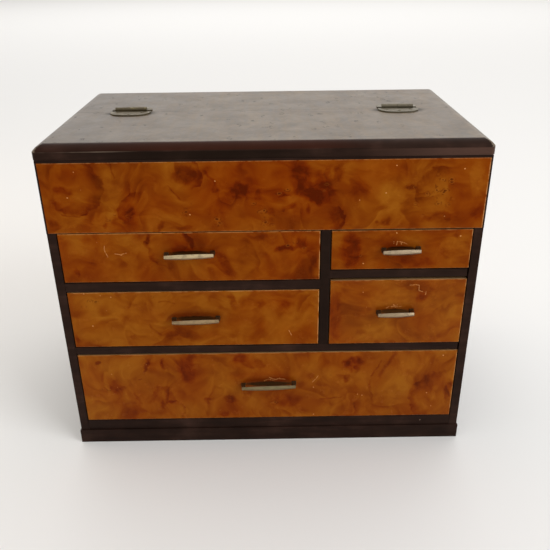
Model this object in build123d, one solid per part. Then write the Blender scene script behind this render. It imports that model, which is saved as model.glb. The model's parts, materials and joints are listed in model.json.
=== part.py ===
from build123d import *
import os
from math import cos, radians, sin

# A five-drawer chest with a top compartment under a split top: the rear part of the top is
# fixed, and the front part is a flap on two hinges.
# Millimetres. X runs across the front, +Y towards the back, +Z up. The origin is on the floor,
# under the middle of the whole object, pulls included.

# Overall size
WIDTH = 300.0
DEPTH = 180.8
HEIGHT = 242.5  # to the flat of the top, without the hinge barrels
PULL_REACH = 7.5  # how far a pull stands proud of the drawer fronts
FRONT = (PULL_REACH - DEPTH) / 2
BACK = FRONT + DEPTH

# Carcass
SIDE_T = 6.25
INNER = WIDTH / 2 - SIDE_T  # half the width between the side boards
BACK_T = 4.0
INNER_BACK = BACK - BACK_T
FACE_SETBACK = 0.3  # shelves and divider stop this far behind the drawer fronts
EDGE_R = 0.4  # worn roundness of the visible edges

PLINTH_H = 11.9
PLINTH_T = 12.0
PLINTH_OUT = 0.8  # how far the plinth stands out past the front and the sides
BASE_TOP = 20.9

SHELF_LOWER_Z = (82.9, 88.7)
SHELF_LEFT_Z = (135.6, 142.6)
SHELF_RIGHT_Z = (144.0, 150.0)
DIVIDER_X = (38.4, 45.2)
SHRINK_GAP = 1.1  # the shelf noses have shrunk away from the right side board
SHRINK_DEPTH = 6.0

# Top compartment
COMPARTMENT_Z = 181.0
COMPARTMENT_FLOOR_T = 4.0
RIM_Z = 232.2
FRONT_BOARD_T = 8.0
VENEER_T = 0.8
VENEER_SIDE_INSET = 1.2
VENEER_BOTTOM_INSET = 0.2
VENEER_TOP_INSET = 1.7

# Top, split across its width
TOP_OVERHANG = 0.8  # past the front and the sides, but not the back
TOP_CORNER_R = 3.0
ROUND_W = 8.0  # the round-over's width on the top
ROUND_H = 4.6  # and its height on the edge
SPLIT_Y = FRONT + 96.4
SPLIT_GAP = 0.2
FLAP_BOTTOM = RIM_Z + 0.4

# Hinges
HINGE_X = 103.0
LEAF_W = 30.5
LEAF_DEPTH = 15.2  # from the hinge axis to the tip of a leaf
LEAF_T = 0.9
LEAF_CLEAR = 2.1  # a leaf's plate stops this far from the axis, beside the other's knuckle
BARREL_L = 24.0
BARREL_R = 1.7
BARREL_LIFT = 0.2
KNUCKLE_GAP = 0.2
HINGE_Z = HEIGHT + BARREL_LIFT + BARREL_R
PIN_R = 0.7
PIN_CLEAR = 0.05
NAIL_POINTS = ((-9.0, 6.3), (0.0, 11.6), (9.0, 6.3))  # along the axis, away from it
NAIL_R = 0.5
NAIL_HOLE_R = 0.53
NAIL_HEAD_R = 1.1
NAIL_HEAD_H = 0.35
NAIL_L = 6.0

# Drawers
FRONT_T = 9.0
BOX_T = 6.0
BOTTOM_T = 3.0
SIDE_GAP = 0.65  # between a drawer front and the carcass, left and right
SLIDE_LIFT = 0.25  # between a drawer's bottom and the shelf that it runs on
HEADROOM = 5.0  # the box's sides stop this far below the top of the front
BACK_GAP = 0.5
LAP = 4.0  # depth of the rebates that take the box's sides in the front
FINGERS = 3

# Bar pulls
PULL_END_H = 2.8
PULL_MID_H = 3.9
BAR_T = 2.3
BAR_BOW = 0.5
BAR_STATIONS = 5
END_CUT = (1.6, 2.6)  # the bar's lower corners are cut off: along the bar, and up it
ARM_INSET = 0.9  # from the bar's end to the middle of an arm
ARM_TIP = (2.4, 2.2)  # an arm's width and height at the bar
ARM_FOOT = (3.4, 3.4)  # and against the drawer
ARM_CORNER_R = 0.4
PULL_TILT = 1.5  # degrees by which the hand-fitted pulls rise to the right
SCREW_R = 0.8
SCREW_BORE_R = 0.83
SCREW_HOLE_R = 0.95
SCREW_BITE = 3.0
SCREW_HEAD_R = 1.9
SCREW_HEAD_H = 1.2

# Each drawer's opening in the carcass, the gaps under and over its front, its pull's length, and
# how far right of and above the middle of the front the pull sits
LEFT_X = (-INNER, DIVIDER_X[0])
RIGHT_X = (DIVIDER_X[1], INNER)
DRAWERS = {
    "bottom": ((-INNER, INNER), (BASE_TOP, SHELF_LOWER_Z[0]), (0.5, 1.2), 40.8, (0.3, 2.2)),
    "lower_left": (LEFT_X, (SHELF_LOWER_Z[1], SHELF_LEFT_Z[0]), (0.7, 0.7), 33.8, (0.8, 0.5)),
    "upper_left": (LEFT_X, (SHELF_LEFT_Z[1], COMPARTMENT_Z), (0.7, 0.5), 34.0, (-0.5, 2.9)),
    "lower_right": (RIGHT_X, (SHELF_LOWER_Z[1], SHELF_RIGHT_Z[0]), (0.4, 2.2), 25.8, (-1.1, 0.8)),
    "upper_right": (RIGHT_X, (SHELF_RIGHT_Z[1], COMPARTMENT_Z), (0.7, 0.9), 25.8, (-0.3, 0.5)),
}


def board(x, y, z):
    """A board between two planes on each axis."""
    size = [high - low for low, high in (x, y, z)]
    centre = [(low + high) / 2 for low, high in (x, y, z)]
    return Pos(*centre) * Box(*size)


def rod(x, z, y, radius):
    """A cylinder along Y between two planes."""
    return Pos(x, (y[0] + y[1]) / 2, z) * Rot(90, 0, 0) * Cylinder(radius, y[1] - y[0])


def soften_face(solid, side, radius):
    """Round all the edges of the face that lies furthest towards one side."""
    axis = Axis.Y if side in ("front", "back") else Axis.X
    faces = solid.faces().sort_by(axis)
    face = faces[-1] if side in ("back", "right") else faces[0]
    return fillet(face.edges(), radius)


def save(name, *solids):
    shape = solids[0] if len(solids) == 1 else Compound(children=list(solids))
    export_step(shape, os.path.join("parts", name + ".step"))


def plinth():
    """Four strips with mitred corners, under the edge of the carcass."""
    x, front, back = WIDTH / 2 + PLINTH_OUT, FRONT - PLINTH_OUT, BACK
    inner_x, inner_front, inner_back = x - PLINTH_T, front + PLINTH_T, back - PLINTH_T
    outer = {"left": [(-x, back), (-x, front)], "front": [(-x, front), (x, front)]}
    outer |= {"right": [(x, front), (x, back)], "back": [(x, back), (-x, back)]}
    inner_of = {x: inner_x, -x: -inner_x, front: inner_front, back: inner_back}
    for side, (start, end) in outer.items():
        corners = [start, end] + [(inner_of[a], inner_of[b]) for a, b in (end, start)]
        strip = extrude(make_face(Polyline(*corners, close=True)), amount=PLINTH_H)
        if strip.center().Z < 0:
            strip = Pos(0, 0, PLINTH_H) * strip
        faces = strip.faces().sort_by(Axis.Y if side in ("front", "back") else Axis.X)
        outer_face = faces[0] if side in ("front", "left") else faces[-1]
        top_edge = outer_face.edges().sort_by(Axis.Z)[-1]
        save("plinth_" + side, fillet(top_edge, EDGE_R))


def side_board(sign):
    """A side board, rebated above the drawers for the compartment's front board."""
    x = sorted((sign * INNER, sign * WIDTH / 2))
    side = board(x, (FRONT, BACK), (PLINTH_H, RIM_Z))
    rebate = board(x, (FRONT, FRONT + FRONT_BOARD_T), (COMPARTMENT_Z, RIM_Z))
    side -= rebate
    outer_corner = side.edges().filter_by(Axis.Z).sort_by(Axis.Y)[:2].sort_by(Axis.X)
    return fillet(outer_corner[0 if sign < 0 else -1], EDGE_R)


def shelf(x, z, reaches_right_side):
    shelf_board = board(x, (FRONT + FACE_SETBACK, INNER_BACK), z)
    if reaches_right_side:
        nose = (FRONT, FRONT + SHRINK_DEPTH)
        shelf_board -= board((x[1] - SHRINK_GAP, x[1]), nose, z)
    return shelf_board


def carcass():
    inner = (-INNER, INNER)
    save("base_board", board(inner, (FRONT + FACE_SETBACK, INNER_BACK), (PLINTH_H, BASE_TOP)))
    save("side_left", side_board(-1))
    save("side_right", side_board(1))
    save("back_panel", board(inner, (INNER_BACK, BACK), (PLINTH_H, RIM_Z)))
    save("shelf_lower", shelf(inner, SHELF_LOWER_Z, True))
    save("shelf_left", shelf(LEFT_X, SHELF_LEFT_Z, False))
    save("shelf_right", shelf(RIGHT_X, SHELF_RIGHT_Z, True))
    divider_z = (SHELF_LOWER_Z[1], COMPARTMENT_Z)
    save("divider", board(DIVIDER_X, (FRONT + FACE_SETBACK, INNER_BACK), divider_z))


def compartment():
    """The compartment's floor, and its front board with the veneer let into its face."""
    floor_z = (COMPARTMENT_Z, COMPARTMENT_Z + COMPARTMENT_FLOOR_T)
    behind_front = FRONT + FRONT_BOARD_T
    save("compartment_floor", board((-INNER, INNER), (behind_front, INNER_BACK), floor_z))
    front_board = board((-WIDTH / 2, WIDTH / 2), (FRONT, behind_front), (COMPARTMENT_Z, RIM_Z))
    veneer_x = WIDTH / 2 - VENEER_SIDE_INSET
    veneer = board(
        (-veneer_x, veneer_x),
        (FRONT, FRONT + VENEER_T),
        (COMPARTMENT_Z + VENEER_BOTTOM_INSET, RIM_Z - VENEER_TOP_INSET),
    )
    save("compartment_front", front_board - veneer)
    save("compartment_veneer", veneer)


def top_profile(low, high, bottom):
    """Outline of the top across one direction, with a round-over above each arris."""
    arris = HEIGHT - ROUND_H
    left = TangentArc((low + ROUND_W, HEIGHT), (low, arris), tangent=(-1, 0))
    right = TangentArc((high - ROUND_W, HEIGHT), (high, arris), tangent=(1, 0))
    return make_face(
        [
            left,
            Line((low, arris), (low, bottom)),
            Line((low, bottom), (high, bottom)),
            Line((high, bottom), (high, arris)),
            right,
            Line((high - ROUND_W, HEIGHT), (low + ROUND_W, HEIGHT)),
        ]
    )


def whole_top(bottom):
    half = WIDTH / 2 + TOP_OVERHANG
    near, far = FRONT - TOP_OVERHANG, BACK
    across = Plane.XZ * top_profile(-half, half, bottom)
    along = Plane.YZ * top_profile(near, far, bottom)
    slab = extrude(across, amount=WIDTH, both=True) & extrude(along, amount=WIDTH, both=True)

    def at_a_corner(edge):
        middle = edge.center()
        beside = half - abs(middle.X) < ROUND_W
        return beside and min(middle.Y - near, far - middle.Y) < ROUND_W

    return fillet(slab.edges().filter_by(at_a_corner), TOP_CORNER_R)


def nail_spots(hinge_x, sign):
    """Where a leaf's nails go: sign is -1 on the flap and 1 on the fixed part."""
    return [(hinge_x + along, SPLIT_Y + sign * away) for along, away in NAIL_POINTS]


def drilled(solid, spots, radius, z):
    for x, y in spots:
        solid -= Pos(x, y, (z[0] + z[1]) / 2) * Cylinder(radius, z[1] - z[0])
    return solid


def top_parts():
    across = (-WIDTH, WIDTH)
    hole_z = (HEIGHT - NAIL_L, HEIGHT)
    front_half = board(across, (FRONT - DEPTH, SPLIT_Y - SPLIT_GAP / 2), (0, HEIGHT))
    rear_half = board(across, (SPLIT_Y + SPLIT_GAP / 2, BACK + DEPTH), (0, HEIGHT))
    flap = whole_top(FLAP_BOTTOM) & front_half
    rear = whole_top(RIM_Z) & rear_half
    for hinge_x in (-HINGE_X, HINGE_X):
        flap = drilled(flap, nail_spots(hinge_x, -1), NAIL_HOLE_R, hole_z)
        rear = drilled(rear, nail_spots(hinge_x, 1), NAIL_HOLE_R, hole_z)
    save("lid_flap", flap)
    save("rear_top", rear)


def leaf_outline(sign):
    """Half of a boat shape, widest beside the barrel."""
    half = LEAF_W / 2
    shoulder = (half, sign * 3.0)
    bend = (half * 0.9, sign * LEAF_DEPTH * 0.66)
    corner = (half * 0.58, sign * LEAF_DEPTH * 0.92)
    near = sign * LEAF_CLEAR
    mirrored = [(-x, y) for x, y in (shoulder, bend, corner)]
    return make_face(
        [
            Line((half, near), shoulder),
            ThreePointArc(shoulder, bend, corner),
            ThreePointArc(corner, (0, sign * LEAF_DEPTH), mirrored[2]),
            ThreePointArc(mirrored[2], mirrored[1], mirrored[0]),
            Line(mirrored[0], (-half, near)),
            Line((-half, near), (half, near)),
        ]
    )


def leaf(hinge_x, sign):
    """One leaf with its knuckle: the flap's leaf has the left knuckle."""
    plate = extrude(leaf_outline(sign), amount=LEAF_T)
    if plate.center().Z < 0:
        plate = Pos(0, 0, LEAF_T) * plate
    plate = Pos(hinge_x, SPLIT_Y, HEIGHT) * plate
    start = hinge_x + (-BARREL_L / 2 if sign < 0 else KNUCKLE_GAP / 2)
    knuckle_x = (start, start + (BARREL_L - KNUCKLE_GAP) / 2)
    web_y = sorted((SPLIT_Y, SPLIT_Y + sign * (LEAF_CLEAR + 0.5)))
    web = board(knuckle_x, web_y, (HEIGHT + BARREL_LIFT, HEIGHT + LEAF_T))
    length = knuckle_x[1] - knuckle_x[0]
    at_knuckle = Pos(sum(knuckle_x) / 2, SPLIT_Y, HINGE_Z) * Rot(0, 90, 0)
    knuckle = at_knuckle * Cylinder(BARREL_R, length)
    bore = at_knuckle * Cylinder(PIN_R + PIN_CLEAR, length)
    whole = plate + web + knuckle - bore
    return drilled(whole, nail_spots(hinge_x, sign), NAIL_HOLE_R, (HEIGHT, HEIGHT + LEAF_T))


def nails(sign):
    """Round-headed nails through both leaves on one side of the split."""
    made = []
    for hinge_x in (-HINGE_X, HINGE_X):
        for x, y in nail_spots(hinge_x, sign):
            seat = HEIGHT + LEAF_T
            shank = Pos(x, y, seat - NAIL_L / 2) * Cylinder(NAIL_R, NAIL_L)
            head = Pos(x, y, seat + NAIL_HEAD_H / 2) * Cylinder(NAIL_HEAD_R, NAIL_HEAD_H)
            rim = head.edges().sort_by(Axis.Z)[-1]
            made.append(shank + fillet(rim, NAIL_HEAD_H * 0.8))
    return made


def hinges():
    for side, hinge_x in (("left", -HINGE_X), ("right", HINGE_X)):
        save("hinge_" + side + "_front_leaf", leaf(hinge_x, -1))
        save("hinge_" + side + "_rear_leaf", leaf(hinge_x, 1))
        pin = Pos(hinge_x, SPLIT_Y, HINGE_Z) * Rot(0, 90, 0) * Cylinder(PIN_R, BARREL_L)
        save("hinge_" + side + "_pin", pin)
    save("flap_leaf_nails", *nails(-1))
    save("rear_leaf_nails", *nails(1))


def bar_section(share, length):
    """The bar's section at a place along it, from -1 at one end to 1 at the other."""
    swell = 1 - share**2
    half = (PULL_END_H + (PULL_MID_H - PULL_END_H) * swell) / 2
    back = BAR_BOW * (1 - swell)
    front = back - BAR_T * (0.8 + 0.2 * swell)
    shoulder = back - BAR_T * 0.4
    outline = Polyline(
        (back, -half * 0.75),
        (shoulder, -half),
        (front, -half * 0.25),
        (front, half * 0.25),
        (shoulder, half),
        (back, half * 0.75),
        close=True,
    )
    return Pos(share * length / 2, 0, 0) * (Plane.YZ * make_face(outline))


def pull_arm(x, z, tip_y):
    """An arm that widens from the bar to its foot on the drawer front."""
    tip = Plane((x, tip_y, z), z_dir=(0, -1, 0)) * RectangleRounded(*ARM_TIP, ARM_CORNER_R)
    foot = Plane((x, FRONT, z), z_dir=(0, -1, 0)) * RectangleRounded(*ARM_FOOT, ARM_CORNER_R)
    return loft([tip, foot])


def pull(x, z, length):
    """A cast bar, thickest in the middle and a little bowed, on an arm at each end."""
    shares = [2 * i / (BAR_STATIONS - 1) - 1 for i in range(BAR_STATIONS)]
    bar = loft([bar_section(share, length) for share in shares])
    half, low = length / 2, -PULL_MID_H
    across, up = END_CUT
    corner = [(half, low + up), (half + 1, low + up), (half + 1, low - 1), (half - across, low - 1)]
    for side in (-1, 1):
        cut = make_face(Polyline(*[(side * a, b) for a, b in corner], close=True))
        bar -= extrude(Plane.XZ * cut, amount=2 * BAR_T, both=True)
    bar_back = FRONT - PULL_REACH + BAR_T
    cast = Pos(x, bar_back, z) * Rot(0, -PULL_TILT, 0) * bar
    for arm in arm_places(x, z, length):
        cast += pull_arm(*arm, bar_back - 0.3)
    for arm in arm_places(x, z, length):
        cast -= rod(*arm, (FRONT - SCREW_BITE, FRONT), SCREW_BORE_R)
    return cast


def arm_places(x, z, length):
    """Where the arms meet the bar, on a line that rises to the right."""
    reach = length / 2 - ARM_INSET
    along, up = reach * cos(radians(PULL_TILT)), reach * sin(radians(PULL_TILT))
    return [(x - along, z - up), (x + along, z + up)]


def pull_screw(x, z):
    shank = rod(x, z, (FRONT - SCREW_BITE + 0.2, FRONT + FRONT_T), SCREW_R)
    head = rod(x, z, (FRONT + FRONT_T, FRONT + FRONT_T + SCREW_HEAD_H), SCREW_HEAD_R)
    rim = head.edges().sort_by(Axis.Y)[-1]
    return shank + fillet(rim, SCREW_HEAD_H * 0.6)


def drawer(name, opening_x, opening_z, gaps, pull_length, pull_offset):
    """A drawer box lapped into its front and finger-jointed at its back."""
    x = (opening_x[0] + SIDE_GAP, opening_x[1] - SIDE_GAP)
    z = (opening_z[0] + gaps[0], opening_z[1] - gaps[1])
    front_back = FRONT + FRONT_T
    end = INNER_BACK - BACK_GAP
    floor_z = (opening_z[0] + SLIDE_LIFT, opening_z[0] + SLIDE_LIFT + BOTTOM_T)
    box_z = (floor_z[1], z[1] - HEADROOM)
    left_x = (x[0], x[0] + BOX_T)
    right_x = (x[1] - BOX_T, x[1])
    lap_y = (front_back - LAP, front_back)

    face = soften_face(board(x, (FRONT, front_back), z), "front", EDGE_R)
    face -= board(left_x, lap_y, box_z)
    face -= board(right_x, lap_y, box_z)
    face -= board((x[0], x[1]), (front_back - LAP, front_back), (z[0] - 1, box_z[0]))
    bottom = board(x, (front_back - LAP, end), floor_z)

    finger_h = (box_z[1] - box_z[0]) / FINGERS
    tongue_z = (box_z[0] + finger_h, box_z[0] + 2 * finger_h)
    back_y = (end - BOX_T, end)
    back = board((left_x[1], right_x[0]), back_y, box_z)
    sides = []
    for side_x in (left_x, right_x):
        tongue = board(side_x, back_y, tongue_z)
        sides.append(board(side_x, (lap_y[0], end), box_z) - tongue)
        back += tongue

    pull_x, pull_z = sum(x) / 2 + pull_offset[0], sum(z) / 2 + pull_offset[1]
    arms = arm_places(pull_x, pull_z, pull_length)
    for arm in arms:
        face -= rod(*arm, (FRONT, front_back), SCREW_HOLE_R)
    save(name + "_front", face)
    save(name + "_bottom", bottom)
    save(name + "_side_left", sides[0])
    save(name + "_side_right", sides[1])
    save(name + "_back", back)
    save(name + "_pull", pull(pull_x, pull_z, pull_length))
    save(name + "_pull_screws", *[pull_screw(*arm) for arm in arms])


os.makedirs("parts", exist_ok=True)
plinth()
carcass()
compartment()
top_parts()
hinges()
for drawer_name, measures in DRAWERS.items():
    drawer(drawer_name + "_drawer", *measures)
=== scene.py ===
import json
from math import cos, pi, sin

import bpy
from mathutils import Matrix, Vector

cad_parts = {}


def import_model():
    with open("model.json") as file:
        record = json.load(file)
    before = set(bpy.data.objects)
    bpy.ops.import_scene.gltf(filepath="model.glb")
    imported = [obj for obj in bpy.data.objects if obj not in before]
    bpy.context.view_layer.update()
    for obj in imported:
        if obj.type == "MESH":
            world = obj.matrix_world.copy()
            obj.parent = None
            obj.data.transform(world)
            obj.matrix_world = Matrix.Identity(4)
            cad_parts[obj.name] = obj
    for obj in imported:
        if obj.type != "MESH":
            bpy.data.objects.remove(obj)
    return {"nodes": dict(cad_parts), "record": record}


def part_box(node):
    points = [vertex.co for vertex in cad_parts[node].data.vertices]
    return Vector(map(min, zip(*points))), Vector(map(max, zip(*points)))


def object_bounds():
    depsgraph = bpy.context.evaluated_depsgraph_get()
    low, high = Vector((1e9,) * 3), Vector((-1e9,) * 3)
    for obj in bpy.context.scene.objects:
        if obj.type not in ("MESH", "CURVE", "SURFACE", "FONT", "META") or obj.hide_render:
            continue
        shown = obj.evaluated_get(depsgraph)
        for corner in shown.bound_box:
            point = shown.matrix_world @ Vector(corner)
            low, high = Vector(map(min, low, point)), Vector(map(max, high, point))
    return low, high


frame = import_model()
cad_low, cad_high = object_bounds()

MM = 0.001
DEGREE = pi / 180

# Sizes on the chest, in millimetres
PULL_BAR_T = 2.9
VENEER_T = 0.7
LID_FRONT_INSET = 8.2
LID_ARRIS_Z = 237.9
EYE_SPACING = 4.8
CHIP_SPACING = 11.0
NICK_SPACING = 7.5

WEAR_ROUGHNESS = 0.35


def srgb(red, green, blue):
    """A colour given in 0-255 display values, as the linear values that shaders take."""

    def linear(value):
        value /= 255
        return value / 12.92 if value <= 0.04045 else ((value + 0.055) / 1.055) ** 2.4

    return tuple(linear(value) for value in (red, green, blue))


# Shader building


class Finish:
    """A material built up node by node, in millimetres of the chest's own frame."""

    def __init__(self, name):
        self.material = bpy.data.materials.new(name)
        self.material.use_nodes = True
        self.tree = self.material.node_tree
        self.tree.nodes.clear()
        output = self.add("ShaderNodeOutputMaterial")
        self.shader = self.add("ShaderNodeBsdfPrincipled")
        self.tree.links.new(self.shader.outputs["BSDF"], output.inputs["Surface"])
        coordinates = self.add("ShaderNodeTexCoord").outputs["Object"]
        self.place = self.vector("MULTIPLY", coordinates, (1 / MM,) * 3)

    def add(self, kind):
        return self.tree.nodes.new(kind)

    def wire(self, socket, value):
        if isinstance(value, bpy.types.NodeSocket):
            self.tree.links.new(value, socket)
        elif socket.type == "RGBA":
            socket.default_value = (*value, 1.0)[:4]
        else:
            socket.default_value = value

    def set(self, **values):
        """Sets the shader's own sockets: base_color=... means Base Color."""
        for name, value in values.items():
            socket = name.replace("_", " ").title().replace("Ior", "IOR")
            self.wire(self.shader.inputs[socket], value)

    def math(self, operation, *values, clamp=False):
        node = self.add("ShaderNodeMath")
        node.operation = operation
        node.use_clamp = clamp
        for socket, value in zip(node.inputs, values):
            self.wire(socket, value)
        return node.outputs[0]

    def sum(self, first, *others):
        for other in others:
            first = self.math("ADD", first, other)
        return first

    def times(self, first, *others):
        for other in others:
            first = self.math("MULTIPLY", first, other)
        return first

    def largest(self, values):
        first, *others = values
        for other in others:
            first = self.math("MAXIMUM", first, other)
        return first

    def vector(self, operation, *values):
        node = self.add("ShaderNodeVectorMath")
        node.operation = operation
        for socket, value in zip(node.inputs, values):
            self.wire(socket, value)
        return node.outputs["Value" if operation in ("LENGTH", "DOT_PRODUCT") else "Vector"]

    def axes(self, point):
        node = self.add("ShaderNodeSeparateXYZ")
        self.wire(node.inputs[0], point)
        return node.outputs

    def noise(self, point, size, detail=2.0, roughness=0.5, output="Fac"):
        """Noise whose features are about size millimetres across."""
        node = self.add("ShaderNodeTexNoise")
        self.wire(node.inputs["Vector"], point)
        node.inputs["Scale"].default_value = 1.0 / size
        node.inputs["Detail"].default_value = detail
        node.inputs["Roughness"].default_value = roughness
        return node.outputs[output]

    def warp(self, point, size, amount, detail=1.5):
        """Pushes a point about by a noise, up to half of amount millimetres each way."""
        noise = self.noise(point, size, detail, output="Color")
        push = self.vector("SUBTRACT", noise, (0.5, 0.5, 0.5))
        return self.vector("ADD", point, self.vector("MULTIPLY", push, (amount,) * 3))

    def cells(self, point, size, output="Distance"):
        """Cells about size millimetres across: distance to the centre, as a share of size, or
        with output="Color" a random colour for each cell."""
        node = self.add("ShaderNodeTexVoronoi")
        self.wire(node.inputs["Vector"], point)
        node.inputs["Scale"].default_value = 1.0 / size
        return node.outputs[output]

    def between(self, value, low, high, to_low=0.0, to_high=1.0):
        """Smooth step of a value from low to high."""
        node = self.add("ShaderNodeMapRange")
        node.interpolation_type = "SMOOTHSTEP"
        numbers = {"From Min": low, "From Max": high, "To Min": to_low, "To Max": to_high}
        for name, number in numbers.items():
            node.inputs[name].default_value = number
        self.wire(node.inputs["Value"], value)
        return node.outputs["Result"]

    def ramp(self, value, *stops):
        """A colour that follows a value through stops, each (value, colour)."""
        node = self.add("ShaderNodeValToRGB")
        self.wire(node.inputs["Fac"], value)
        elements = node.color_ramp.elements
        while len(elements) < len(stops):
            elements.new(1.0)
        for element, (position, colour) in zip(elements, stops):
            element.position = position
            element.color = (*colour, 1.0)
        return node.outputs["Color"]

    def mix(self, share, first, second):
        """The first colour, with this share of the second."""
        node = self.add("ShaderNodeMix")
        node.data_type = "RGBA"
        self.wire(node.inputs["Factor"], share)
        colours = [socket for socket in node.inputs if socket.type == "RGBA"]
        for socket, colour in zip(colours, (first, second)):
            self.wire(socket, colour)
        return next(socket for socket in node.outputs if socket.type == "RGBA")

    def bump(self, height, depth, normal=None):
        """Relief whose height runs from 0 to depth millimetres."""
        node = self.add("ShaderNodeBump")
        node.inputs["Distance"].default_value = depth * MM
        self.wire(node.inputs["Height"], height)
        if normal is not None:
            self.wire(node.inputs["Normal"], normal)
        return node.outputs["Normal"]

    def ellipse(self, point, centre, half_sizes, tilt=0.0):
        """Distance from a centre in the XZ plane, 1 on the ellipse of these half sizes."""
        node = self.add("ShaderNodeMapping")
        node.vector_type = "TEXTURE"
        self.wire(node.inputs["Vector"], point)
        node.inputs["Location"].default_value = (centre[0], 0, centre[1])
        node.inputs["Rotation"].default_value = (0, -tilt * DEGREE, 0)
        node.inputs["Scale"].default_value = (half_sizes[0], 1e6, half_sizes[1])
        return self.vector("LENGTH", node.outputs[0])

    def stroke(self, point, path, width):
        """1 along a path of points in the XZ plane, falling to 0 at width millimetres."""
        nearest = []
        for (x0, z0), (x1, z1) in zip(path, path[1:]):
            along = (x1 - x0, 0, z1 - z0)
            offset = self.vector("SUBTRACT", point, (x0, 0, z0))
            length_squared = along[0] ** 2 + along[2] ** 2
            share = self.vector("DOT_PRODUCT", offset, tuple(c / length_squared for c in along))
            share = self.math("MULTIPLY", share, 1.0, clamp=True)
            scale = self.add("ShaderNodeVectorMath")
            scale.operation = "SCALE"
            scale.inputs[0].default_value = along
            self.wire(scale.inputs["Scale"], share)
            apart = self.vector("SUBTRACT", offset, scale.outputs[0])
            apart = self.vector("MULTIPLY", apart, (1, 0, 1))
            nearest.append(self.between(self.vector("LENGTH", apart), 0.0, width, 1.0, 0.0))
        return self.largest(nearest)

    def distance_from(self, value, level):
        """How far a value is from a level, either way."""
        return self.math("ABSOLUTE", self.sum(value, -level))


# Burl veneer

GOLDEN = (
    (0.12, srgb(88, 27, 1)),
    (0.30, srgb(107, 41, 1)),
    (0.44, srgb(122, 54, 4)),
    (0.58, srgb(135, 68, 8)),
    (0.80, srgb(151, 87, 17)),
)
RUDDY = (
    (0.12, srgb(78, 11, 0)),
    (0.30, srgb(98, 24, 0)),
    (0.44, srgb(114, 36, 0)),
    (0.58, srgb(127, 50, 1)),
    (0.80, srgb(141, 67, 7)),
)
# Colour of the pale board edges: rubbed wear together with a painted highlight
WORN_AND_LIT_EDGE = srgb(204, 146, 88)
SCRATCH = srgb(206, 142, 82)


def pulls_on(node):
    """The boxes of the pulls screwed to this board."""
    pull = node.replace("_front", "_pull")
    return [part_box(pull)] if node.endswith("drawer_front") else []


def patches(f, point, marks):
    """Sum of soft ellipses, each (x, z, half width, half height, tilt, strength)."""
    return f.sum(
        0.0,
        *(
            f.between(f.ellipse(point, (x, z), half_sizes, tilt), 0.4, 1.2, strength, 0.0)
            for x, z, *half_sizes, tilt, strength in marks
        ),
    )


def crescents(f, point, marks):
    """Arcs, each (x, z, radius, facing, thickness), darkest along a sharp outer edge."""
    arcs = []
    for x, z, radius, facing, thickness in marks:
        reach = f.ellipse(point, (x, z), (radius, radius))
        offset = f.vector("MULTIPLY", f.vector("SUBTRACT", point, (x, 0, z)), (1, 0, 1))
        toward = (cos(facing * DEGREE), 0, sin(facing * DEGREE))
        along = f.vector("DOT_PRODUCT", f.vector("NORMALIZE", offset), toward)
        side = f.between(along, -0.1, 0.7)
        inner = f.between(reach, 1.0 - thickness, 0.97)
        arcs.append(f.times(inner, f.between(reach, 0.98, 1.05, 1.0, 0.0), side))
    return f.largest(arcs) if arcs else 0.0


def figure(f, sheet, flow):
    """The burl's own figure: clouds, flames across them and broken crescent lines."""
    curl = f.warp(f.warp(sheet, 42, 34, 1), 15, 13, 1)
    cloud = f.noise(curl, 26, 1, 0.4)
    stretched = f.vector("MULTIPLY", f.warp(curl, 8, 6, 1), (flow[0], 1, flow[1]))
    flame = f.noise(stretched, 8, 2, 0.5)
    terrace = f.math("FRACT", f.times(f.noise(curl, 40, 1, 0.3), 7.0))
    rising, falling = f.between(terrace, 0.0, 0.85), f.between(terrace, 0.85, 1.0, 1.0, 0.0)
    broken = f.between(f.noise(sheet, 19, 1), 0.42, 0.62)
    return f.sum(
        f.times(cloud, 0.60),
        f.times(flame, 0.50),
        f.times(rising, falling, broken, -0.17),
    )


def eye_clusters(f, colour, local, wavy, sheet, eyes):
    """Bird's eyes, each a dark pip with a pale glow in a broken ring, where clusters lie."""
    clusters = [f.between(f.noise(sheet, 30, 1), 0.64, 0.72, 0.0, 0.7)]
    for x, z, radius in eyes:
        reach = f.ellipse(wavy, (x, z), (radius, radius))
        clusters.append(f.between(reach, 0.6, 1.1, 1.0, 0.0))
    place = f.warp(f.vector("MULTIPLY", local, (0.8, 1, 1.05)), 3.0, 1.8, 1)
    knot = f.cells(place, EYE_SPACING)
    chosen = f.between(f.axes(f.cells(place, EYE_SPACING, "Color"))[0], 0.25, 0.3)
    eye = f.times(f.largest(clusters), chosen)
    ring_gap = f.between(f.noise(local, 3.2, 1), 0.47, 0.56)
    ring = f.between(f.distance_from(knot, 0.36), 0.02, 0.12, 1.0, 0.0)
    colour = f.mix(f.times(ring, eye, ring_gap, 0.6), colour, srgb(84, 22, 2))
    glow = f.between(f.distance_from(knot, 0.22), 0.0, 0.1, 1.0, 0.0)
    colour = f.mix(f.times(glow, eye, 0.2), colour, srgb(180, 108, 38))
    pip = f.times(f.between(knot, 0.10, 0.25, 1.0, 0.0), eye)
    return f.mix(f.times(pip, 0.8), colour, srgb(70, 16, 1))


def pull_shade(f, colour, local, node, low, painted_shade):
    """Painted shade above each pull on the board: a soft reddish halo, and a dark line of painted
    shade and painted reflection of the bar just above it.
    """
    for pull_low, pull_high in pulls_on(node):
        middle = (pull_low + pull_high) / 2 / MM - low
        half_length = (pull_high.x - pull_low.x) / 2 / MM
        ragged = f.warp(f.warp(local, 7, 1.2, 1), 2.2, 0.7, 1)
        halo = f.ellipse(ragged, (middle.x, middle.z + 1.0), (half_length + 4.0, 7.0))
        colour = f.mix(f.between(halo, 0.3, 1.2, painted_shade, 0.0), colour, srgb(88, 30, 8))
        reach = f.ellipse(ragged, (middle.x, middle.z - 0.1), (half_length - 0.6, 2.5))
        colour = f.mix(f.between(reach, 0.62, 1.12, 0.95, 0.0), colour, srgb(26, 10, 3))
    return colour


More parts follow.
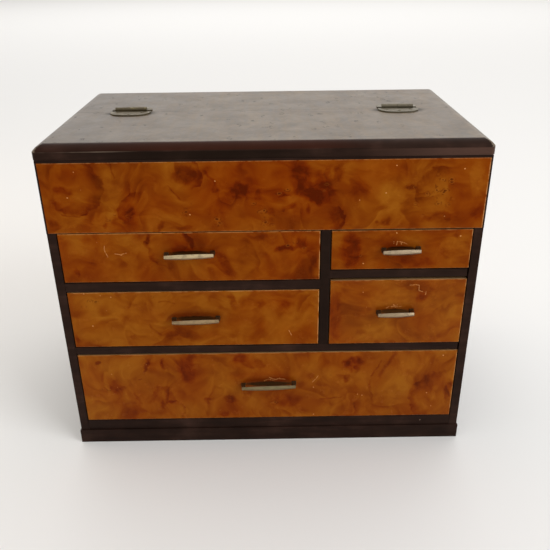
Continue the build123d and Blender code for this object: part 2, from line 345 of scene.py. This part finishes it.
def edge_wear_and_highlight(f, local, size, top_wear_and_highlight, right_wear_and_highlight):
    """How pale the board's top, right and lower edges are: rubbed wear, and a painted highlight
    where the top and right edges catch the light.
    """
    x, _, z = f.axes(local)
    edges = f.largest(
        (
            f.times(f.between(z, size.z - 0.7, size.z - 0.35), top_wear_and_highlight),
            f.times(f.between(x, size.x - 0.75, size.x - 0.3), right_wear_and_highlight),
            f.times(f.between(z, 0.3, 0.6, 1.0, 0.0), 0.25),
        )
    )
    return f.times(edges, f.between(f.noise(local, 7, 3, 0.7), 0.36, 0.60))


def dents_and_scratches(f, local, specks, scratches):
    """Scattered pale dents, listed pale dents, and scratches along listed paths."""
    place = f.warp(local, 2, 1, 1)
    rare = f.between(f.axes(f.cells(place, CHIP_SPACING, "Color"))[1], 0.62, 0.66)
    marks = [f.times(f.between(f.cells(place, CHIP_SPACING), 0.02, 0.05, 1.0, 0.0), rare, 0.8)]
    for speck in specks:
        marks.append(f.between(f.ellipse(place, speck, (0.55, 0.45)), 0.5, 1.2, 1.0, 0.0))
    rubbed = f.warp(local, 1.4, 1.0, 2)
    interrupted = f.between(f.noise(local, 1.3, 2), 0.34, 0.52)
    for path in scratches:
        marks.append(f.times(f.stroke(rubbed, path, 0.42), interrupted, 0.8))
    return f.largest(marks)


def burl(
    name,
    node,
    number,
    *,
    fade=0.0,
    red,
    stains,
    blushes,
    arcs=(),
    veins=(),
    eyes=(),
    painted_shade=0.0,
    scratches=(),
    specks=(),
    top_wear_and_highlight=0.45,
    right_wear_and_highlight=0.8,
    shine=0.22,
    flow=(0.7, 1.2),
):
    """Polished burl on the front of one board. Marks are placed from its lower left corner.

    fade: how much paler than the rest this board is; red: how ruddy it is, from 0 to 1;
    stains and blushes: patches that darken and that redden; arcs: crescents; veins: (path, width);
    eyes: (x, z, radius) of clusters; grime: how strong the painted shade above the pull is;
    scratches: paths; specks: (x, z) of pale dents; top_wear_and_highlight and
    right_wear_and_highlight: how pale those edges are, from rubbed wear and a painted highlight;
    shine: how strongly it reflects; flow: how tight the fine figure is along X and along Z.
    """
    low, high = (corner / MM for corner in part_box(node))
    f = Finish(name)
    local = f.vector("SUBTRACT", f.place, tuple(low))
    flat = f.vector("MULTIPLY", local, (1, 0.2, 1))
    sheet = f.vector("ADD", flat, (137.0 * number, 0, 61.0 * number))
    wavy = f.warp(f.warp(local, 14, 9, 2), 4.5, 4.5, 2)

    uneven = f.between(f.noise(wavy, 6, 2), 0.34, 0.6, 0.6, 1.15)
    dark = f.sum(patches(f, wavy, stains), f.times(crescents(f, wavy, arcs), 0.8))
    dark = f.times(dark, uneven)
    for path, width in veins:
        vein = f.stroke(f.warp(local, 5, 3, 2), path, width)
        dark = f.sum(dark, f.times(vein, uneven, 0.65))
    tone = f.sum(figure(f, sheet, flow), f.times(dark, -0.25), fade - 0.01)
    redness = f.sum(
        f.between(f.noise(sheet, 34, 2), 0.35, 0.65, red - 0.3, red + 0.3),
        patches(f, wavy, blushes),
        f.times(dark, 0.3),
    )
    redness = f.math("MULTIPLY", redness, 1.0, clamp=True)
    colour = f.mix(redness, f.ramp(tone, *GOLDEN), f.ramp(tone, *RUDDY))

    colour = eye_clusters(f, colour, local, wavy, sheet, eyes)
    # Painted shade and painted reflection above each pull's bar
    colour = pull_shade(f, colour, local, node, low, painted_shade)
    # Pale edges: rubbed wear, with a painted highlight along the top and right edges
    edges = edge_wear_and_highlight(f, local, high - low, top_wear_and_highlight, right_wear_and_highlight)
    colour = f.mix(edges, colour, WORN_AND_LIT_EDGE)
    scratched = dents_and_scratches(f, local, specks, scratches)
    colour = f.mix(scratched, colour, SCRATCH)
    wear_and_highlight = f.largest((edges, scratched))

    gloss = f.between(f.noise(local, 9, 3, 0.6), 0.3, 0.75, 0.16, 0.30)
    ripple = f.bump(f.noise(local, 14, 2), 0.05)
    f.set(
        base_color=colour,
        roughness=f.sum(gloss, f.times(wear_and_highlight, WEAR_ROUGHNESS)),
        normal=f.bump(f.times(wear_and_highlight, -1.0), 0.04, ripple),
        specular_ior_level=shine,
        specular_tint=srgb(255, 178, 84),
    )
    return f.material


# Lacquer, woods and metals

NEAR_BLACK = srgb(12, 6, 3)


def lid_edge_light_and_shade(f, colour):
    """The lid's front edge, with light painted in: painted shade left of the middle, a painted
    hazy reflection at the right end and a painted red-brown sheen on the round-over above.
    """
    x, _, z = f.axes(f.place)
    flat = f.between(z, LID_ARRIS_Z - 0.6, LID_ARRIS_Z, 1.0, 0.0)
    # Painted shade: the flat face darkest left of the middle
    darkest = f.between(f.distance_from(x, -35.0), 35.0, 85.0, 0.75, 0.0)
    colour = f.mix(f.times(darkest, flat), colour, NEAR_BLACK)
    hazy_reflection = f.between(x, 45.0, 140.0, 0.0, 0.5)
    colour = f.mix(f.times(hazy_reflection, flat), colour, srgb(98, 72, 62))
    fading_left = f.between(x, -130.0, -60.0, 0.3, 1.0)
    red_sheen = f.times(f.between(x, 30.0, 85.0, 0.6, 0.0), fading_left)
    round_over = f.between(z, LID_ARRIS_Z, LID_ARRIS_Z + 0.8)
    return f.mix(f.times(red_sheen, round_over), colour, srgb(52, 16, 4))


def arris_highlight(f):
    """A painted highlight along the lid's front arris, which fades out towards the middle."""
    x, y, z = f.axes(f.place)
    front_y = cad_low.y / MM + LID_FRONT_INSET
    line = f.between(f.distance_from(z, LID_ARRIS_Z), 0.1, 0.42, 1.0, 0.0)
    front = f.between(y, front_y, front_y + 0.4, 1.0, 0.0)
    long_noise = f.noise(f.vector("MULTIPLY", f.place, (0.25, 1, 1)), 9, 3, 0.6)
    fading = f.between(x, -112.0, -74.0, 0.5, 0.0)
    return f.times(line, front, f.between(long_noise, 0.32, 0.6), fading)


def dark_lacquer(name, dim=0.0, is_lid_edge=False):
    """Nearly black lacquer with a few chips, and painted light and shade on the lid's edge.
    dim is how much darker than usual it is.
    """
    f = Finish(name)
    streak = f.noise(f.vector("MULTIPLY", f.place, (0.12, 0.12, 1)), 5, 4, 0.6)
    tone = f.sum(f.times(streak, 0.4), f.times(f.noise(f.place, 28, 3, 0.6), 0.6))
    colour = f.ramp(
        tone,
        (0.34, srgb(23, 13, 10)),
        (0.52, srgb(37, 23, 18)),
        (0.68, srgb(58, 39, 32)),
    )
    colour = f.mix(dim, colour, NEAR_BLACK)
    chip_place = f.warp(f.place, 2, 1.2, 1)
    rare = f.between(f.axes(f.cells(chip_place, CHIP_SPACING, "Color"))[0], 0.88, 0.92)
    chip = f.between(f.cells(chip_place, CHIP_SPACING), 0.03, 0.06, 1.0, 0.0)
    wear_and_highlight, wear_and_highlight_colour = f.times(chip, rare, 0.7), srgb(158, 132, 112)
    if is_lid_edge:
        # Painted light and shade on the lid's front edge
        colour = lid_edge_light_and_shade(f, colour)
        # On the lid's edge a painted highlight along the front arris joins the chips
        wear_and_highlight, wear_and_highlight_colour = f.largest((wear_and_highlight, arris_highlight(f))), srgb(140, 122, 104)
    f.set(
        base_color=f.mix(wear_and_highlight, colour, wear_and_highlight_colour),
        roughness=f.between(f.noise(f.place, 12, 4, 0.65), 0.3, 0.7, 0.28, 0.37),
        normal=f.bump(f.noise(f.place, 3.5, 3), 0.02),
        specular_ior_level=0.12,
        specular_tint=srgb(255, 214, 190),
    )
    return f.material


def hinge_shade(f, sheet):
    """Painted shade round both hinges, in broken patches, from 0 to 1."""
    patchy = f.between(f.noise(f.warp(sheet, 6, 4, 1), 7, 3, 0.6), 0.3, 0.55)
    dirty = []
    for side in ("left", "right"):
        leaf_low, leaf_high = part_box(f"hinge_{side}_front_leaf")
        middle = (leaf_low + leaf_high) / 2 / MM
        offset = f.vector("SUBTRACT", f.place, (middle.x, middle.y + 2.0, 0))
        reach = f.vector("LENGTH", f.vector("MULTIPLY", offset, (1 / 19.0, 1 / 10.0, 0)))
        dirty.append(f.times(f.between(reach, 0.85, 1.25, 1.0, 0.0), patchy))
    return f.largest(dirty)


def varnish_nicks(f):
    """Scattered nicks in the top's varnish, some a dot and some a hook, from 0 to 1."""
    place = f.warp(f.vector("MULTIPLY", f.place, (1, 0.5, 1)), 3, 2.2, 2)
    nick = f.cells(place, NICK_SPACING)
    picked = f.between(f.axes(f.cells(place, NICK_SPACING, "Color"))[0], 0.5, 0.55)
    hook = f.between(f.distance_from(nick, 0.22), 0.03, 0.08, 1.0, 0.0)
    hook = f.times(hook, f.between(f.noise(f.place, 3.2, 1), 0.52, 0.60))
    dot = f.between(nick, 0.05, 0.11, 1.0, 0.0)
    return f.times(f.largest((dot, hook)), picked)


def top_veneer(name):
    """Dull varnish over dark burl, nicked, with painted shade round the hinges and towards the
    left, and a painted pale highlight along both ends.
    """
    f = Finish(name)
    x = f.axes(f.place)[0]
    sheet = f.vector("MULTIPLY", f.place, (1, 1, 0.2))
    curl = f.warp(f.warp(sheet, 40, 40, 2), 12, 10, 2)
    streak = f.noise(f.vector("MULTIPLY", f.place, (1, 0.06, 1)), 3.5, 3, 0.6)
    tone = f.sum(
        f.times(f.noise(curl, 24, 3, 0.55), 0.35),
        f.times(f.noise(curl, 4, 3, 0.6), 0.35),
        f.times(streak, 0.3),
    )
    colour = f.ramp(
        tone,
        (0.36, srgb(62, 46, 26)),
        (0.50, srgb(86, 67, 41)),
        (0.66, srgb(108, 87, 57)),
    )
    # Painted shade: the top drawn darker towards its left end
    left_shade = f.between(x, -150.0, -30.0, 0.45, 0.0)
    colour = f.mix(left_shade, colour, srgb(46, 34, 22))
    # Painted shade round the hinges, darker and less shiny there
    painted_shade = hinge_shade(f, sheet)
    colour = f.mix(f.times(painted_shade, 0.8), colour, srgb(40, 30, 12))
    # Painted highlight: a pale, broken, shinier band along both ends of the top and its rounded
    # edges
    ends = f.between(f.math("ABSOLUTE", x), 142.0, 145.5)
    broken = f.between(f.noise(f.warp(f.place, 5, 5, 2), 5, 4, 0.65), 0.42, 0.64)
    end_highlight = f.times(ends, broken)
    colour = f.mix(f.times(end_highlight, 0.5), colour, srgb(112, 95, 74))
    nicks = varnish_nicks(f)
    colour = f.mix(f.times(nicks, 0.6), colour, srgb(26, 17, 10))
    wrinkle = f.noise(f.warp(sheet, 11, 9, 2), 5.5, 4, 0.62)
    relief = f.sum(f.times(wrinkle, 0.8), f.times(nicks, -0.45))
    gloss = f.sum(f.noise(f.warp(sheet, 7, 6, 2), 18, 3, 0.6), f.times(streak, 0.4))
    f.set(
        base_color=colour,
        roughness=f.sum(f.between(gloss, 0.45, 0.95, 0.32, 0.42), f.times(nicks, 0.15)),
        normal=f.bump(relief, 0.11),
        specular_ior_level=f.sum(f.times(painted_shade, -0.4), f.times(end_highlight, 0.3), 0.5),
    )
    return f.material


def plain_wood(name, along):
    """Planed light softwood with its grain along one axis."""
    f = Finish(name)
    stretch = tuple(0.035 if axis == along else 1.0 for axis in "xyz")
    fibre = f.vector("MULTIPLY", f.place, stretch)
    bend = f.warp(fibre, 9, 3.0, 1)
    rings = f.math("FRACT", f.times(f.noise(bend, 22, 1, 0.4), 16.0))
    late = f.times(f.between(rings, 0.1, 0.85), f.between(rings, 0.9, 1.0, 1.0, 0.0))
    fine = f.noise(fibre, 0.7, 3, 0.6)
    tone = f.sum(f.times(fine, 0.5), f.times(late, 0.28), f.times(f.noise(fibre, 6, 2), 0.3))
    colour = f.ramp(
        tone,
        (0.30, srgb(186, 148, 102)),
        (0.55, srgb(166, 124, 80)),
        (0.85, srgb(134, 92, 54)),
    )
    f.set(
        base_color=colour,
        roughness=f.between(fine, 0.3, 0.7, 0.55, 0.72),
        normal=f.bump(fine, 0.05),
        specular_ior_level=0.3,
    )
    return f.material


def aged_brass(name, bright, dull, cover):
    """Brass under broken tarnish. cover runs from 0, nearly clean, to 1, all tarnished."""
    f = Finish(name)
    film = f.noise(f.warp(f.place, 3, 2.5, 2), 3.6, 4, 0.65)
    threshold = 0.7 - 0.4 * cover
    tarnish = f.between(film, threshold - 0.12, threshold + 0.12)
    grain = f.noise(f.vector("MULTIPLY", f.place, (0.1, 1, 1)), 0.5, 2)
    metal = f.ramp(grain, (0.3, tuple(0.8 * c for c in bright)), (0.7, bright))
    f.set(
        base_color=f.mix(tarnish, metal, dull),
        metallic=f.between(tarnish, 0.0, 1.0, 1.0, 0.45),
        roughness=f.sum(f.times(grain, 0.16), f.times(tarnish, 0.22), 0.22),
        normal=f.bump(f.noise(f.place, 0.9, 3), 0.03),
    )
    return f.material


# The marks on each board, in millimetres from its lower left corner: see burl
PANELS = {
    "compartment_veneer": dict(
        red=0.45,
        fade=0.03,
        top_wear_and_highlight=0.35,
        stains=(
            (15, 30, 6, 4, 0, 0.9), (97, 40, 11, 7, -10, 1.3), (132, 30, 9, 6, 20, 1.5),
            (116, 30, 3, 3, 0, 0.9), (173, 38, 8, 13, 0, 1.4), (186, 27, 10, 9, 25, 1.8),
            (178, 26, 10, 5, -15, 1.0), (198, 40, 4, 6, 0, 0.9), (231, 6, 4, 3.5, 0, 0.9),
            (188, 38, 5, 8, 30, 0.6), (224, 6.5, 2, 1.5, 0, 0.8), (91, 3, 8, 2, 0, 0.8),
            (77, 5, 2.5, 6, -15, 0.7), (57.5, 15, 4.5, 6.5, -15, 1.2), (5, 6, 5, 5, 0, 0.6),
            (246, 30, 3.5, 4, 0, 0.8), (198, 9, 7, 9, 0, 0.9), (268, 8, 12, 4, 10, 0.8),
            (293, 12, 5, 8, 0, 0.6), (213, 28, 6, 6, 0, 0.4), (40, 4, 2, 1.5, 0, 0.7),
            (144, 26, 3, 3, 0, 0.7), (150, 6, 5, 4, 0, 0.6), (152, 15, 4, 4, 0, 0.6),
            (162, 27, 8, 2, 0, 0.7), (165, 17, 6, 2.5, 10, 0.7), (178, 16, 2.5, 3, 0, 0.8),
            (45, 36, 5, 10, 0, -0.7), (45, 12, 3, 8, 0, -0.6), (235, 25, 9, 15, 0, -0.5),
            (266, 27, 12, 10, 0, -0.3), (290, 35, 5, 14, 0, -0.6),
        ),
        blushes=(
            (132, 30, 34, 24, 0, 0.5), (175, 28, 30, 24, 0, 0.6), (57, 15, 7, 9, 0, 0.7),
            (45, 30, 12, 20, 0, -0.4), (250, 30, 24, 20, 0, -0.3),
        ),
        arcs=(
            (22, 33, 19.5, -15, 0.5), (22, 31, 18, -80, 0.3), (63, 15, 13, 150, 0.4),
            (98, 40, 10, 0, 0.4), (192, 8, 11, 0, 0.4), (266, 27, 17, 150, 0.6),
        ),
        veins=(
            (((109, 43), (112, 39), (115.5, 36), (117, 30)), 1.4),
            (((85, 33), (88, 29), (92, 23)), 0.9), (((48.5, 49), (48.5, 44), (50, 39)), 0.9),
            (((12, 13.5), (17, 12.5), (23, 12), (28, 14)), 1.0),
            (((158, 24), (162, 25.5), (166, 25)), 1.0),
        ),
        eyes=(
            (116, 10, 7), (150, 15, 13), (160, 26, 8), (205, 26, 4), (245, 30, 4), (267, 28, 13),
        ),
        specks=((17, 25.5), (98, 12.5), (116, 36), (230, 26), (236, 45), (281, 42)),
    ),
    "upper_left_drawer_front": dict(
        red=0.45,
        fade=0.03,
        stains=(
            (62, 31, 2, 6, -20, 1.0), (90, 31, 3, 8, 32, 1.2), (84, 25, 7, 3, 0, 0.7),
            (115, 13, 5, 15, 35, 0.8), (157, 25, 9, 2.5, 5, 1.2), (168, 29, 5, 5, 0, 1.2),
            (10, 8, 2, 4, 0, 0.9), (40, 14, 8, 4, 0, 0.5), (140, 34, 10, 3, 0, 0.5),
            (176, 15, 4, 10, 0, 0.7), (15, 26, 10, 7, 0, -0.5), (50, 30, 8, 6, 0, -0.4),
        ),
        blushes=((84, 25, 9, 6, 0, 0.6), (160, 25, 26, 16, 0, 0.4)),
        arcs=((80, 28, 19, 165, 0.2), (80, 28, 12, 20, 0.3)),
        eyes=((158, 26, 6), (169, 28, 5)),
        painted_shade=0.3,
        scratches=(
            ((31.5, 28), (31, 25), (33, 19.5)), ((38, 22), (42, 21.5), (46, 22.5)),
            ((41, 21.5), (44, 20)),
        ),
    ),
    "lower_left_drawer_front": dict(
        red=0.0,
        fade=0.10,
        stains=(
            (78, 12, 16, 6, 10, 0.7), (45, 7, 4, 3, 0, 0.7), (2, 8, 2, 4, 0, 0.8),
            (118, 38, 3.5, 8, 15, 0.9), (156, 31, 7, 7, 0, 0.8), (138, 36, 4, 4, 0, 0.6),
            (26, 30, 16, 12, 0, -0.3),
        ),
        blushes=((155, 25, 40, 26, 0, 0.6), (85, 12, 20, 10, 0, 0.4)),
        veins=((((65, 37), (70, 38), (76, 36)), 1.0), (((57, 18), (59, 14), (64, 10)), 1.6)),
        painted_shade=0.75,
        scratches=(((159, 12), (161, 8)),),
        specks=((31, 42), (15, 18), (12, 45)),
    ),
    "upper_right_drawer_front": dict(
        red=0.5,
        top_wear_and_highlight=0.35,
        stains=(
            (13, 15, 7, 14, 0, 1.2), (60, 5, 14, 3, 0, 0.5), (85, 16, 9, 12, 0, -0.5),
            (36, 24, 10, 5, 0, -0.3),
        ),
        blushes=((13, 15, 9, 16, 0, 0.5), (60, 5, 18, 6, 0, 0.4)),
        eyes=((20, 8, 4),),
        painted_shade=0.3,
        scratches=(
            ((43, 19.5), (43, 21)), ((45, 18.5), (45.3, 21), (48, 20.8), (48.5, 18.8)),
            ((48.5, 20.5), (51, 19.6), (53, 18.5)),
        ),
        specks=((22.5, 4.5), (89, 24.5), (44.5, 27.5)),
    ),
    "lower_right_drawer_front": dict(
        red=0.3,
        fade=0.04,
        shine=0.4,
        top_wear_and_highlight=0.35,
        stains=(
            (4, 26, 5, 24, 0, 0.5), (68, 44, 8, 8, 0, 0.8), (66, 37, 4, 4, 0, 0.6),
            (24, 10, 5, 3, 0, 0.5), (57, 46, 3, 3, 0, 0.5), (40, 38, 18, 8, 0, -0.4),
            (87, 28, 5, 20, 0, -0.4),
        ),
        blushes=((4, 26, 7, 26, 0, 0.6), (66, 38, 6, 6, 0, 0.6)),
        painted_shade=0.3,
        scratches=(
            ((57, 48.5), (61, 48.7), (63.5, 48.4), (63.8, 44), (67.5, 42.5)),
            ((69, 43), (68.6, 40.5)), ((41, 30), (43.5, 31.5), (46, 31), (49, 32.4)),
            ((44.5, 30), (47, 32.4), (49.5, 30.6), (52, 31.4)), ((46, 33), (48, 30.2)),
        ),
    ),
    "bottom_drawer_front": dict(
        red=0.3,
        fade=0.09,
        shine=0.3,
        flow=(1.25, 0.65),
        top_wear_and_highlight=0.25,
        stains=(
            (14.5, 54.5, 3, 2.5, 0, 1.2), (25, 32, 7, 8, 0, 0.8), (51, 50, 2.5, 8, -15, 1.2),
            (64, 51, 2, 7, 0, 1.0), (46, 39, 2, 1, 0, 0.8), (81, 45, 7, 14, 0, 0.8),
            (85, 57, 4, 4, 0, 0.9), (61, 14, 2, 6, 0, 0.7), (96, 18, 3, 4, 0, 0.8),
            (114, 17, 7, 4, 0, 1.0), (108, 3, 4, 3, 0, 0.8), (122, 55, 6, 5, 0, 0.8),
            (136, 50, 4, 6, 0, 0.8), (155, 16, 15, 7, 0, 0.6), (208, 49, 8, 8, 0, 1.5),
            (204, 37, 2.5, 5, 0, 0.9), (283, 22, 3, 13, 0, 0.9), (55, 24, 2.5, 9, -25, 0.6),
            (67, 20, 3, 8, 20, 0.6), (41, 20, 2, 9, 15, 0.5), (128, 22, 3, 9, -20, 0.5),
            (222, 24, 2, 12, 15, 0.5), (248, 38, 8, 18, 0, -0.6), (272, 22, 3, 10, -15, -0.6),
            (19, 32, 1.5, 8, 0, -0.8),
        ),
        blushes=(
            (136, 37, 30, 9, 0, 0.6), (125, 53, 14, 8, 0, 0.5), (81, 45, 9, 14, 0, 0.3),
            (58, 50, 10, 8, 0, 0.4),
        ),
        arcs=((277, 18, 24, 160, 0.45), (68, 9, 9, 40, 0.4)),
        veins=(
            (((240, 60), (236, 52), (232, 45), (229, 38)), 2.6),
            (((229, 52), (226, 45), (222, 38)), 1.2), (((183, 17), (192, 18), (200, 19)), 1.0),
        ),
        eyes=((18, 31, 4), (114, 18, 3.5), (199, 50, 2.5), (150, 16, 6)),
        painted_shade=0.75,
        scratches=(
            ((140, 35), (143, 36.6), (147, 35.4), (151, 36.8), (157, 36.2)),
            ((144, 38), (149, 36), (152, 37.6)), ((177, 33), (180, 36.5), (181.5, 39)),
        ),
        specks=((178, 28.5), (178.5, 2.5), (216, 20), (266.5, 21.5), (276, 56)),
    ),
}


# Every piece gets its finish


def longest_axis(node):
    low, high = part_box(node)
    return max(zip(high - low, "xyz"))[1]


def dress(node, material, skin=None, is_skin=None):
    """Gives a node its finish, and a second one to the faces for which is_skin(face) holds."""
    mesh = frame["nodes"][node].data
    mesh.materials.clear()
    mesh.materials.append(material)
    if skin:
        mesh.materials.append(skin)
        for face in mesh.polygons:
            face.material_index = 1 if is_skin(face) else 0


def is_polished_top(face):
    """The top's upper face and its rounded left and right edges."""
    return face.normal.z > 0.99 or (abs(face.normal.x) > 0.1 and face.normal.z > 0.2)


def dress_front(node, material, skin, depth):
    """The skin goes on all that is within this many millimetres of the node's front."""
    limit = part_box(node)[0].y + depth * MM
    dress(node, material, skin, lambda face: face.center.y < limit)


LACQUER = dark_lacquer("dark_lacquer")
DIVIDER_LACQUER = dark_lacquer("divider_lacquer", dim=0.55)
LID_EDGE_LACQUER = dark_lacquer("lid_edge_lacquer", is_lid_edge=True)
TOP = top_veneer("top_veneer")
WOODS = {axis: plain_wood("inner_wood_" + axis, axis) for axis in "xyz"}
DULL_BRASS = aged_brass("dull_brass", srgb(112, 90, 58), srgb(54, 38, 20), 0.6)
# The right hinge's brass is painted lighter than the left's: painted light from the right
HINGE_BRASS_AS_LIT = {
    "left": aged_brass("hinge_left_brass", srgb(118, 107, 80), srgb(88, 77, 56), 0.7),
    "right": aged_brass("hinge_right_brass", srgb(128, 120, 101), srgb(99, 91, 74), 0.7),
}
# The bare metal of each pull's bar
PULL_BRIGHTNESS = {
    "upper_left": srgb(194, 173, 136),
    "upper_right": srgb(176, 156, 129),
    "lower_right": srgb(162, 142, 115),
    "lower_left": srgb(163, 138, 104),
    "bottom": srgb(137, 122, 90),
}
PULL_TARNISH = 0.55  # how bright the tarnish on a pull is beside its bare metal

for number, (node, marks) in enumerate(PANELS.items()):
    veneer = burl("burl_" + node, node, number, **marks)
    dress_front(node, WOODS["x"], veneer, VENEER_T)

for part in frame["record"]["subparts"]:
    node, slot = part["node"], part["material_slot"]
    if slot == "inner_wood":
        dress(node, WOODS[longest_axis(node)])
    elif slot == "dark_lacquer":
        dress(node, DIVIDER_LACQUER if node == "divider" else LACQUER)
    elif slot == "top_veneer":
        dress(node, LID_EDGE_LACQUER, TOP, is_polished_top)
    elif node.endswith("pull"):
        bright = PULL_BRIGHTNESS[node.removesuffix("_drawer_pull")]
        dull = tuple(PULL_TARNISH * level for level in bright)
        bar_brass = aged_brass("brass_" + node, bright, dull, 0.25)
        dress_front(node, DULL_BRASS, bar_brass, PULL_BAR_T)
    elif "pull" in node:
        dress(node, DULL_BRASS)
    elif slot != "burl_veneer":
        dress(node, HINGE_BRASS_AS_LIT["right" if "right" in node else "left"])


# Studio


def floor():
    """A wide pale table top."""
    half = 30.0
    corners = [(-half, -half, 0), (half, -half, 0), (half, half, 0), (-half, half, 0)]
    mesh = bpy.data.meshes.new("floor")
    mesh.from_pydata(corners, [], [(0, 1, 2, 3)])
    plane = bpy.data.objects.new("floor", mesh)
    bpy.context.scene.collection.objects.link(plane)
    f = Finish("floor")
    f.set(base_color=(0.80, 0.795, 0.785), roughness=0.7, specular_ior_level=0.2)
    mesh.materials.append(f.material)


def softbox(name, location, target, size, radiance, colour=(1, 1, 1)):
    """An area light at location, facing target, that shines evenly with this radiance."""
    light = bpy.data.lights.new(name, "AREA")
    light.shape = "RECTANGLE"
    light.size, light.size_y = size
    light.energy = radiance * pi * size[0] * size[1]
    light.color = colour
    holder = bpy.data.objects.new(name, light)
    holder.location = location
    holder.rotation_euler = (Vector(target) - Vector(location)).to_track_quat("-Z", "Y").to_euler()
    bpy.context.scene.collection.objects.link(holder)


def world(front, back):
    """A pale room, dimmer in front of the chest than behind it."""
    made = bpy.data.worlds.new("studio")
    made.use_nodes = True
    tree = made.node_tree
    background = tree.nodes["Background"]
    background.inputs["Color"].default_value = (1.0, 0.975, 0.945, 1)
    direction = tree.nodes.new("ShaderNodeTexCoord").outputs["Generated"]
    split = tree.nodes.new("ShaderNodeSeparateXYZ")
    tree.links.new(direction, split.inputs[0])
    shade = tree.nodes.new("ShaderNodeMapRange")
    numbers = {"From Min": -0.6, "From Max": 0.6, "To Min": front, "To Max": back}
    for name, number in numbers.items():
        shade.inputs[name].default_value = number
    tree.links.new(split.outputs["Y"], shade.inputs["Value"])
    tree.links.new(shade.outputs["Result"], background.inputs["Strength"])
    bpy.context.scene.world = made


def camera():
    """The photograph's point of view."""
    data = bpy.data.cameras.new("camera")
    data.lens = 42.75
    data.sensor_width = 36.0
    holder = bpy.data.objects.new("camera", data)
    holder.location = (0.0043, -0.50185, 0.3520)
    holder.rotation_euler = (1.1125, 0.0110, -0.0100)
    bpy.context.scene.collection.objects.link(holder)
    bpy.context.scene.camera = holder


floor()
world(0.42, 0.92)
softbox("window", (2.0, -1.4, 1.6), (0, 0, 0.1), (1.6, 1.6), 4.6, (0.97, 0.985, 1.0))
softbox("ceiling", (0.2, -0.5, 2.6), (0.1, -0.2, 0), (3.0, 3.0), 0.66)
softbox("far_wall", (0.2, 4.0, 2.6), (0.2, 3.8, 0), (6.0, 3.0), 1.25)
softbox("warm_wall", (-0.9, 0.2, 0.5), (-0.2, 0, 0), (0.6, 0.6), 0.7, (1.0, 0.75, 0.45))
camera()
bpy.context.scene.view_settings.view_transform = "Standard"
